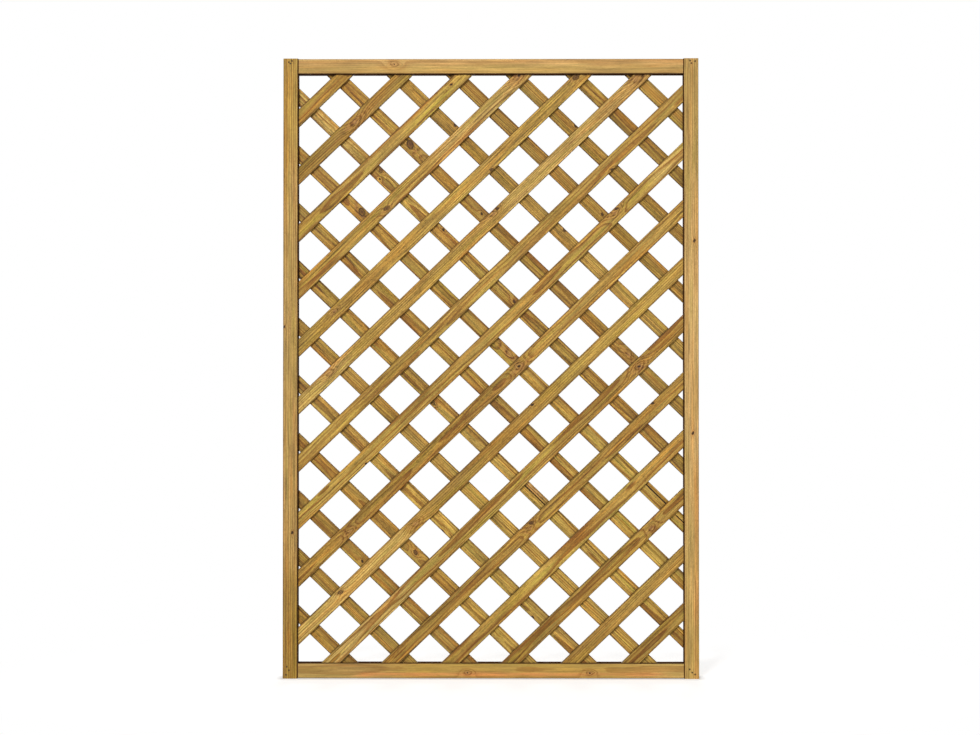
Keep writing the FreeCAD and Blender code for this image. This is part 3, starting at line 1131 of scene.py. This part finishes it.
def prism(form, outline, low, high):
    """Adds a solid with a flat outline to a bmesh, from one level to another."""
    bottom, top = ([form.verts.new((*point, level)) for point in outline] for level in (low, high))
    form.faces.new(bottom)
    form.faces.new(top)
    for first in range(len(outline)):
        second = (first + 1) % len(outline)
        form.faces.new((bottom[first], bottom[second], top[second], top[first]))


def split_tool(splits, thickness):
    """A solid that cuts splits in from the front face of a bar."""
    form = bmesh.new()
    for begin, end, across, width in splits:
        outline = [
            ((begin + (end - begin) * part) * MM, (across + width / 2 * side) * MM)
            for part, side in SPLIT_OUTLINE
        ]
        prism(form, outline, thickness * SPLIT_FLOOR, thickness)
    bmesh.ops.recalc_face_normals(form, faces=form.faces)
    mesh = bpy.data.meshes.new("split_tool")
    form.to_mesh(mesh)
    form.free()
    # the inside of a split is all in painted shade
    mark_hollow_shade(mesh, "FACE", [1.0] * len(mesh.polygons))
    return new_object("split_tool", mesh)


def end_cuts(start, along, across, low, high):
    """Where a lath's plumb and level cuts cross its middle line, and how they slant across it."""
    first_level, last_level = (low.z, high.z) if along.z > 0 else (high.z, low.z)
    cuts = {}
    for cut, axis, level in (
        (START_CUTS[0], 0, low.x), (START_CUTS[1], 2, first_level),
        (FINISH_CUTS[0], 0, high.x), (FINISH_CUTS[1], 2, last_level),
    ):
        cuts[cut] = ((level - start[axis]) / along[axis], -across[axis] / along[axis], 0.0)
    return cuts


def make_layer(context, layer, notes):
    """One layer of laths, each a bar trimmed to the field that its ends fill in the groove."""
    sizes, colours = context.scene.trellis_sizes, context.scene.trellis_colours
    setting, width = workshop().setting, sizes.lath_width
    low, high = setting.field
    through = (low.y, 0.0) if layer == "front" else (0.0, high.y)
    thickness = through[1] - through[0]
    crossed_by = setting.crossed_by("back" if layer == "front" else "front", width)
    material = softwood(f"treated_{layer}_laths", colours, FINISHES[layer], crossed_by)
    for number, marks in enumerate(notes, start=1):
        name = f"{layer}_lath_{number:02d}"
        along, across, away = setting.lath_line(layer, number, width)
        start, length = setting.visible_run(along, across, away)
        start.y = sum(through) / 2
        settings = bar_settings(marks, colours, sizes, SEEDS[layer] + number, width)
        settings.update(end_cuts(start, along, across, low, high))
        settings.update({
            "Length": length, "Width": width, "Thickness": thickness, "Arris": sizes.lath_arris,
            "Material": material, **LATH_ROWS,
        })
        tool = split_tool(marks["splits"], thickness) if marks["splits"] else None
        if tool:
            settings.update({"Split": True, "Split Tool": tool})
        piece = made_by(workshop().bar, f"{name}_wood", settings, bar_matrix(start, along))
        kept(piece, name)
        if tool:
            bpy.data.objects.remove(tool)


# Stiles and rails

FACE_STEP = 6 * MM
HOLLOW_RADIUS = 0.75  # of the crushed wood round a pin, as a share of the head's diameter
HOLLOW_ROWS = (-1.6, -1.0, -0.5, 0.0, 0.5, 1.0, 1.6)  # rows of points round a pin, in such radii


def planes(low, high, step, needed):
    """Places from low to high: the needed ones, and evenly spaced ones that keep clear of them."""
    count = max(1, round((high - low) / step))
    even = [low + (high - low) * number / count for number in range(count + 1)]
    needed = sorted({round(place_at, 6) for place_at in (low, high, *needed)})
    needed = [
        place_at for number, place_at in enumerate(needed)
        if number == 0 or place_at - needed[number - 1] > 0.1 * MM
    ]
    clear = min(step, 1.5 * MM) * 0.6
    return sorted(needed + [e for e in even if all(abs(e - n) > clear for n in needed)])


def edge_rows(half, arris):
    """The rows of points that an arris needs at both edges of a face."""
    return [side * (half - arris * part) for side in (-1, 1) for part in (0, 0.5, 1)]


def solid_cells(grid, filled):
    """Points and outward faces of the solid made of the filled cells between planes."""
    middles = [[(a + b) / 2 for a, b in zip(axis, axis[1:])] for axis in grid]
    i_cells, j_cells, k_cells = (range(len(axis)) for axis in middles)
    full = {
        (i, j, k) for i in i_cells for j in j_cells for k in k_cells
        if filled(middles[0][i], middles[1][j], middles[2][k])
    }
    points, faces, numbers = [], [], {}

    def point(key):
        if key not in numbers:
            numbers[key] = len(points)
            points.append([grid[axis][key[axis]] for axis in range(3)])
        return numbers[key]

    for cell in full:
        for axis in range(3):
            for side in (0, 1):
                beside = list(cell)
                beside[axis] += 2 * side - 1
                if tuple(beside) in full:
                    continue
                first, second = [other for other in range(3) if other != axis]
                corners = []
                for step_first, step_second in ((0, 0), (1, 0), (1, 1), (0, 1)):
                    key = list(cell)
                    key[axis] += side
                    key[first] += step_first
                    key[second] += step_second
                    corners.append(point(tuple(key)))
                outward = (side == 1) != (axis == 1)
                faces.append(corners if outward else corners[::-1])
    return points, faces


def sink_pins(points, pins, face, sizes):
    """Crushes a small hollow into the front face round each pin, and gives each point's share of
    painted shade.
    """
    radius = sizes.pin_head * HOLLOW_RADIUS
    hollow_shades = [0.0] * len(points)
    for number, point in enumerate(points):
        if point[2] < face - 0.01 * MM:
            continue
        for along, across in pins:
            far = math.hypot(point[0] - along, point[1] - across) / radius
            point[2] -= sizes.pin_depth * max(0.0, min(1.0, 1.6 - 1.6 * far))
            hollow_shades[number] = max(hollow_shades[number], min(1.0, 1.7 - far))
    return hollow_shades


def shaped_timber(name, length, width, depth, pins, sizes):
    """A stile or rail about its own middle line, grooved, with its mortises or tenons.

    A pin is (along, across), and it has crushed a small hollow into the front face.
    """
    upright = name in STILES
    inner = -1 if name in (STILES[0], RAILS[1]) else 1  # the side that the groove is in
    half_groove, half_tenon = GROOVE_WIDTH / 2, GROOVE_WIDTH / 2 - TENON_PLAY
    groove, mortise = width / 2 - GROOVE_DEPTH, width / 2 - MORTISE_DEPTH
    end = MORTISE_HEIGHT if upright else TENON_LENGTH

    def filled(along, across, through):
        at_end = along < end or along > length - end
        if across * inner > groove and abs(through) < half_groove:
            return False
        if upright:
            return not (at_end and across * inner > mortise and abs(through) < half_groove)
        return not (at_end and abs(through) > half_tenon)

    rows = [sizes.pin_head * HOLLOW_RADIUS * part for part in HOLLOW_ROWS]
    grid = (
        planes(
            0.0, length, sizes.section_step,
            [end, length - end] + [along + row for along, _ in pins for row in rows],
        ),
        planes(
            -width / 2, width / 2, FACE_STEP,
            edge_rows(width / 2, sizes.frame_arris) + [inner * groove, inner * mortise]
            + [across + row for _, across in pins for row in rows],
        ),
        planes(
            -depth / 2, depth / 2, FACE_STEP,
            edge_rows(depth / 2, sizes.frame_arris)
            + [side * half for side in (-1, 1) for half in (half_groove, half_tenon)],
        ),
    )
    points, faces = solid_cells(grid, filled)
    return points, faces, sink_pins(points, pins, depth / 2, sizes)


def make_frame_timbers(context):
    """The stiles and rails. A rail's marks are moved along past its tenon."""
    sizes, colours = context.scene.trellis_sizes, context.scene.trellis_colours
    depth = workshop().setting.depth
    material = softwood("treated_frame_timber", colours, FINISHES["frame"])
    for number, (name, marks) in enumerate(FRAME_TIMBERS.items(), start=1):
        low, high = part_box(name)
        middle = (low + high) / 2
        upright = name in STILES
        along = Vector((0, 0, 1)) if upright else Vector((1, 0, 0))
        length = (high - low).dot(along)
        width = (high.x - low.x) if upright else (high.z - low.z)
        pins = [
            (z * MM - low.z, middle.x - x * MM) for x, z in CORNER_PINS
            if upright and low.x < x * MM < high.x
        ]
        shift = 0 if upright else TENON_LENGTH / MM
        settings = bar_settings(marks, colours, sizes, SEEDS["frame"] + number, width, shift)
        settings.update({
            "Ready Shaped": True, "Width": width, "Thickness": depth,
            "Arris": sizes.frame_arris, "Material": material,
        })
        piece = made_by(
            workshop().bar, f"{name}_wood", settings, bar_matrix(middle - along * length / 2, along),
            *shaped_timber(name, length, width, depth, pins, sizes),
        )
        kept(piece, name)


# Fastenings

PIN_DOME = 0.45  # height of a pin's domed head, as a share of its diameter
STAPLE_SEED = 5
STAPLE_TURN = 0.5  # radians that a staple may be turned either way
STAPLE_STRAY = 2.5 * MM


def corner_pin_tree():
    """A domed head at each point."""
    tree, given = new_tree("corner pins", "GeometryNodeTree", {
        "Geometry": ("Points",), "Float": ("Head", "Sunk"), "Material": ("Material",),
    }, {"Geometry": ("Geometry",)})
    head = made(
        tree, "GeometryNodeTransform",
        Geometry=made(tree, "GeometryNodeMeshUVSphere", Segments=12, Rings=7, Radius=0.5),
        Translation=together(0.0, given["Sunk"], 0.0),
        Scale=together(given["Head"], given["Head"] * PIN_DOME, given["Head"]),
    )
    head = made(tree, "GeometryNodeSetShadeSmooth", Geometry=head)
    pins = made(tree, "GeometryNodeInstanceOnPoints", Points=given["Points"], Instance=head)
    give_mesh(pins, given["Material"])
    return tree


def crossing_points(tree, given):
    """The crossings that the frame leaves room for, on the back of the laths."""
    # laths are counted from the middle, so a crossing is half the sum and half the difference
    span = given["Rows"] - 1.0
    grid = made(
        tree, "GeometryNodeMeshGrid", Size_X=span, Size_Y=span, Vertices_X=given["Rows"],
        Vertices_Y=given["Rows"],
    )
    rising, falling, _ = parts(made(tree, "GeometryNodeInputPosition"))
    centre_x, _, centre_z = parts(given["Centre"])
    x = centre_x + (rising + falling) * 0.5 * given["Diamond Width"]
    z = centre_z + (falling - rising) * 0.5 * given["Diamond Height"]
    points = made(
        tree, "GeometryNodeSetPosition", Geometry=grid, Position=together(x, given["Back Face"], z)
    )
    low_x, _, low_z = parts(given["Opening Low"])
    high_x, _, high_z = parts(given["Opening High"])
    here_x, _, here_z = parts(made(tree, "GeometryNodeInputPosition"))
    room = (here_x - low_x).least(high_x - here_x).least(here_z - low_z).least(high_z - here_z)
    return made(
        tree, "GeometryNodeDeleteGeometry", Geometry=points,
        Selection=room.math("LESS_THAN", given["Crown"]),
    )


def bent_wire(tree, given):
    """A staple: its wire goes up one leg, across the crown and down the other."""
    index = made(tree, "GeometryNodeInputIndex")
    side = (index - 1.5).math("SIGN") * given["Crown"] * 0.5
    inside = (index - 1.5).size().math("GREATER_THAN", 1.0) * given["Leg"] * -1.0
    line = made(
        tree, "GeometryNodeSetPosition", Geometry=made(tree, "GeometryNodeMeshLine", Count=4),
        Position=together(side, inside, 0.0),
    )
    path = made(
        tree, "GeometryNodeFilletCurve", Curve=made(tree, "GeometryNodeMeshToCurve", Mesh=line),
        Radius=given["Wire"] * 1.1, Limit_Radius=True,
    )
    ring = made(tree, "GeometryNodeCurvePrimitiveCircle", Resolution=6, Radius=given["Wire"] * 0.5)
    return made(
        tree, "GeometryNodeCurveToMesh", Curve=path, Profile_Curve=ring, Fill_Caps=True
    )


def staple_tree():
    """A staple at each crossing of the two layers that the frame leaves room for, driven from the
    back.
    """
    tree, given = new_tree("back staples", "GeometryNodeTree", {
        "Float": ("Diamond Width", "Diamond Height", "Back Face", "Crown", "Leg", "Wire"),
        "Vector": ("Centre", "Opening Low", "Opening High"), "Int": ("Rows", "Seed"),
        "Material": ("Material",),
    }, {"Geometry": ("Geometry",)})
    staple = made(tree, "GeometryNodeSetShadeSmooth", Geometry=bent_wire(tree, given))
    turn = made(
        tree, "FunctionNodeRandomValue", data_type="FLOAT", Min=-STAPLE_TURN, Max=STAPLE_TURN,
        Seed=given["Seed"],
    )
    stray = made(
        tree, "FunctionNodeRandomValue", data_type="FLOAT_VECTOR",
        Min=(-STAPLE_STRAY, -0.15 * MM, -STAPLE_STRAY), Max=(STAPLE_STRAY, 0.1 * MM, STAPLE_STRAY),
        Seed=given["Seed"],
    )
    points = made(
        tree, "GeometryNodeSetPosition", Geometry=crossing_points(tree, given), Offset=stray
    )
    staples = made(
        tree, "GeometryNodeInstanceOnPoints", Points=points, Instance=staple,
        Rotation=made(tree, "FunctionNodeEulerToRotation", Euler=together(0.0, turn, 0.0)),
    )
    give_mesh(staples, given["Material"])
    return tree


def make_corner_pins(context):
    """The pins at the frame's four corners."""
    sizes, colours = context.scene.trellis_sizes, context.scene.trellis_colours
    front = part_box("stile_left")[0].y
    settings = {
        "Head": sizes.pin_head, "Sunk": sizes.pin_depth,
        "Material": fastening_metal("browned_pins", colours.steel, metallic=0.3),
    }
    points = [(x * MM, front, z * MM) for x, z in CORNER_PINS]
    kept(made_by(corner_pin_tree(), "corner_pins", settings, Matrix(), points))


def make_back_staples(context):
    """The staples that hold the crossings."""
    sizes, colours = context.scene.trellis_sizes, context.scene.trellis_colours
    setting = workshop().setting
    settings = {
        "Diamond Width": setting.diamond_width, "Diamond Height": setting.diamond_height,
        "Centre": tuple(setting.crossing_centre(sizes.lath_width)),
        "Opening Low": tuple(setting.opening[0]), "Opening High": tuple(setting.opening[1]),
        "Back Face": setting.field[1].y, "Crown": sizes.staple_crown, "Leg": sizes.staple_leg,
        "Wire": sizes.staple_wire, "Rows": LATHS_IN_LAYER, "Seed": STAPLE_SEED,
        "Material": fastening_metal("galvanised_staples", colours.zinc, metallic=0.85),
    }
    kept(made_by(staple_tree(), "back_staples", settings, Matrix()))


# Studio

# the camera that gives the photograph's view, and its aim, measured from the panel's left edge,
# its front face and its foot
CAMERA_RIGHT, CAMERA_BEFORE, CAMERA_UP = 0.6257, 5.3005, 0.8313
AIM_RIGHT, AIM_UP = 0.5977, 0.8962
CAMERA_LENS = 67.5

# where each light stands, the side of its square, and the setting of its strength
LIGHTS = {
    "key_light": ((-2.4, -10.8, 5.6), 2.0, "key"),
    "fill_light": ((2.0, -7.0, 0.9), 1.7, "fill"),
    "back_light": ((0.9, 5.6, 2.0), 2.6, "behind"),
}

FLOOR_REACH, FLOOR_MIDDLE, FLOOR_TONE = 9.0, 0.6, 0.8
# how far from the foot the painted shadow on the floor reaches
FOOT_SHADE_REACH = 0.03
SHADOW_FADE = (0.25, 0.9)  # how far from the foot the floor begins to whiten and is white


def soft_light(name, stand, aim, side, share):
    """A square soft light. share is how much of a plain surface's own colour it brings out."""
    lamp = bpy.data.lights.new(name, "AREA")
    lamp.shape, lamp.size = "SQUARE", side
    direction = aim - stand
    lamp.energy = share * (math.pi * direction.length) ** 2
    light = new_object(name, lamp)
    light.location = stand
    light.rotation_euler = direction.to_track_quat("-Z", "Y").to_euler()
    light.visible_camera = False


def seen_as_background(tree):
    """1 for the camera, a reflection or a view through glass, and 0 for light on the object."""
    rays = put(tree, "ShaderNodeLightPath").outputs
    camera, glossy, through = (
        Wire(tree, rays[f"Is {kind} Ray"]) for kind in ("Camera", "Glossy", "Transmission")
    )
    return camera.most(glossy).most(through)


def joined_shaders(tree, kind, first, second, **words):
    """Adds or mixes two shaders."""
    node = put(tree, kind, **words)
    for socket, shader in zip([s for s in node.inputs if s.type == "SHADER"], (first, second)):
        tree.links.new(shader.outputs[0], socket)
    return node


def floor_material(low, high, studio):
    """Pale matt that keeps the shadow near the panel, with painted shadow at its foot, and is as white
    as the rest past it.
    """
    material, tree, plain = new_material("pale_floor")
    tree.nodes.remove(plain)
    matt = put(tree, "ShaderNodeBsdfDiffuse", Color=opaque([FLOOR_TONE] * 3))
    x, y, _ = parts(made(tree, "ShaderNodeTexCoord", "Object"))
    beside = ((x - (low.x + high.x) / 2).size() - (high.x - low.x) / 2).most(0.0)
    away = hypotenuse(beside, (y.size() - high.y).most(0.0))
    # the floor glows less near the foot: a painted contact shadow
    out_of_foot = away.eased(0.0, FOOT_SHADE_REACH)
    floor_glow = out_of_foot * (studio.floor_glow - studio.foot_shadow_glow) + studio.foot_shadow_glow
    glow = put(tree, "ShaderNodeEmission", Strength=seen_as_background(tree) * floor_glow)
    shaded = joined_shaders(tree, "ShaderNodeAddShader", matt, glow)
    white = put(tree, "ShaderNodeEmission", Strength=1.0)
    whole = joined_shaders(
        tree, "ShaderNodeMixShader", shaded, white,
        Fac=away.eased(*SHADOW_FADE) * seen_as_background(tree),
    )
    tree.links.new(whole.outputs[0], tree.nodes["Material Output"].inputs["Surface"])
    return material


def make_stage(context):
    """Camera, plain light, white surroundings and a pale floor that keeps the shadow."""
    scene, studio = context.scene, context.scene.trellis_studio
    scene.view_settings.view_transform = "Standard"
    low, high = cad_box
    aim = Vector((AIM_RIGHT, low.y, AIM_UP))
    camera = new_object("camera", bpy.data.cameras.new("camera"))
    camera.data.lens = CAMERA_LENS
    camera.location = (CAMERA_RIGHT, low.y - CAMERA_BEFORE, CAMERA_UP)
    camera.rotation_euler = (aim - camera.location).to_track_quat("-Z", "Y").to_euler()
    scene.camera = camera
    for name, (stand, side, strength) in LIGHTS.items():
        soft_light(name, Vector(stand), aim, side, getattr(studio, strength))

    world = bpy.data.worlds.new("white_surroundings")
    world.use_nodes = True
    scene.world = world
    background = world.node_tree.nodes["Background"].inputs
    seen = seen_as_background(world.node_tree)
    join(background["Strength"], seen * (1.0 - studio.around) + studio.around)
    background["Color"].default_value = (1, 1, 1, 1)

    form = bmesh.new()
    bmesh.ops.create_grid(form, x_segments=8, y_segments=8, size=FLOOR_REACH)
    mesh = bpy.data.meshes.new("floor")
    form.to_mesh(mesh)
    form.free()
    mesh.transform(Matrix.Translation((FLOOR_MIDDLE, 0.0, low.z)))
    mesh.materials.append(floor_material(low, high, studio))
    new_object("floor", mesh)


# Operators and panel

class TRELLIS_OT_stage(bpy.types.Operator):
    """Sets up the camera, the light and the floor"""
    bl_idname = "trellis.stage"
    bl_label = "Stage"

    def execute(self, context):
        make_stage(context)
        return {"FINISHED"}


class TRELLIS_OT_frame_timbers(bpy.types.Operator):
    """Makes the two stiles and the two rails, grooved, mortised and tenoned"""
    bl_idname = "trellis.frame_timbers"
    bl_label = "Stiles and rails"

    def execute(self, context):
        make_frame_timbers(context)
        return {"FINISHED"}


class TRELLIS_OT_front_laths(bpy.types.Operator):
    """Makes the front layer of laths, which rise to the right"""
    bl_idname = "trellis.front_laths"
    bl_label = "Front laths"

    def execute(self, context):
        make_layer(context, "front", FRONT_LATHS)
        return {"FINISHED"}


class TRELLIS_OT_back_laths(bpy.types.Operator):
    """Makes the back layer of laths, which fall to the right"""
    bl_idname = "trellis.back_laths"
    bl_label = "Back laths"

    def execute(self, context):
        make_layer(context, "back", BACK_LATHS)
        return {"FINISHED"}


class TRELLIS_OT_corner_pins(bpy.types.Operator):
    """Makes the pins that are punched into the stiles at the corners"""
    bl_idname = "trellis.corner_pins"
    bl_label = "Corner pins"

    def execute(self, context):
        make_corner_pins(context)
        return {"FINISHED"}


class TRELLIS_OT_back_staples(bpy.types.Operator):
    """Makes the staples at the back of the crossings"""
    bl_idname = "trellis.back_staples"
    bl_label = "Back staples"

    def execute(self, context):
        make_back_staples(context)
        return {"FINISHED"}


OPERATORS = (
    TRELLIS_OT_stage, TRELLIS_OT_frame_timbers, TRELLIS_OT_front_laths, TRELLIS_OT_back_laths,
    TRELLIS_OT_corner_pins, TRELLIS_OT_back_staples,
)


class VIEW3D_PT_trellis(bpy.types.Panel):
    """Lists the settings of the trellis panel and the steps that make it"""
    bl_idname = "VIEW3D_PT_trellis"
    bl_label = "Diamond trellis panel"
    bl_space_type = "VIEW_3D"
    bl_region_type = "UI"
    bl_category = "Trellis"

    def draw(self, context):
        for title, group in (
            ("Sizes", context.scene.trellis_sizes), ("Colours", context.scene.trellis_colours),
            ("Studio", context.scene.trellis_studio),
        ):
            box = self.layout.box()
            box.label(text=title)
            for name in group.__annotations__:
                box.prop(group, name)
        for operator in OPERATORS:
            self.layout.operator(operator.bl_idname)


GROUPS = {
    "trellis_sizes": TrellisSizes, "trellis_colours": TrellisColours, "trellis_studio": TrellisStudio,
}
CLASSES = (*GROUPS.values(), *OPERATORS, VIEW3D_PT_trellis)


def register():
    for kind in CLASSES:
        bpy.utils.register_class(kind)
    for name, group in GROUPS.items():
        setattr(bpy.types.Scene, name, bpy.props.PointerProperty(type=group))


def unregister():
    for name in GROUPS:
        delattr(bpy.types.Scene, name)
    for kind in reversed(CLASSES):
        bpy.utils.unregister_class(kind)


def main():
    register()
    bpy.ops.trellis.stage()
    bpy.ops.trellis.frame_timbers()
    bpy.ops.trellis.front_laths()
    bpy.ops.trellis.back_laths()
    bpy.ops.trellis.corner_pins()
    bpy.ops.trellis.back_staples()


if __name__ == "__main__":
    main()
